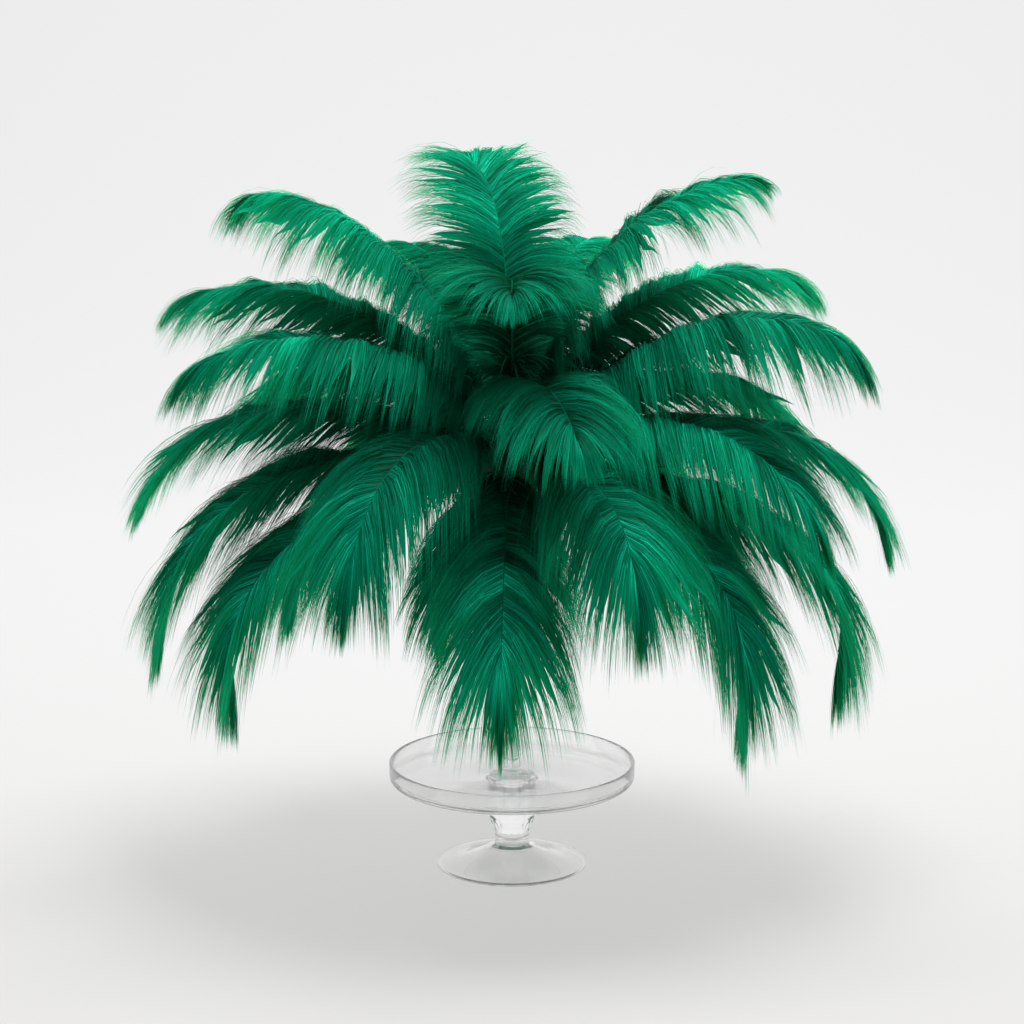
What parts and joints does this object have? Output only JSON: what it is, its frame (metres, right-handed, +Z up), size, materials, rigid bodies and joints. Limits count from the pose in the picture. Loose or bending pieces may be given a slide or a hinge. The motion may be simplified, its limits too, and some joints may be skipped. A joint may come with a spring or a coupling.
{
  "type": "ostrich feather centrepiece",
  "caption": "Fountain of dyed emerald ostrich plumes held in a foam ball and a slim glass vase on a low footed glass plate.",
  "frame": {"origin": "centre of the glass foot, on the table", "axes": "+Z up, +X to the right of the front view, -Y towards the front"},
  "size_m": [0.7696, 0.6325, 0.7097],
  "materials": {
    "dyed_feather": "soft dyed ostrich barbs on a horn shaft",
    "clear_glass": "clear, polished, faintly green at the edges",
    "green_foam": "fine open-celled foam, dull"
  },
  "bodies": {
    "root": {"crown_plume_back": "dyed_feather", "crown_plume_front": "dyed_feather", "foam_ball": "green_foam", "glass_stand": "clear_glass", "glass_vase": "clear_glass", "hanging_plume_back": "dyed_feather", "hanging_plume_back_left": "dyed_feather", "hanging_plume_back_right": "dyed_feather", "hanging_plume_front": "dyed_feather", "hanging_plume_front_left": "dyed_feather", "hanging_plume_front_right": "dyed_feather", "hanging_plume_left": "dyed_feather", "hanging_plume_near_left": "dyed_feather", "hanging_plume_near_right": "dyed_feather", "hanging_plume_right": "dyed_feather", "high_plume_back": "dyed_feather", "high_plume_front": "dyed_feather", "high_plume_left": "dyed_feather", "high_plume_right": "dyed_feather", "low_plume_back_left": "dyed_feather", "low_plume_back_right": "dyed_feather", "low_plume_front_left": "dyed_feather", "low_plume_front_right": "dyed_feather", "middle_plume_back_left": "dyed_feather", "middle_plume_back_right": "dyed_feather", "middle_plume_front_left": "dyed_feather", "middle_plume_front_right": "dyed_feather", "middle_plume_left": "dyed_feather", "middle_plume_right": "dyed_feather", "upper_plume_back_left": "dyed_feather", "upper_plume_back_right": "dyed_feather", "upper_plume_left": "dyed_feather", "upper_plume_right": "dyed_feather"}
  },
  "joints": []
}
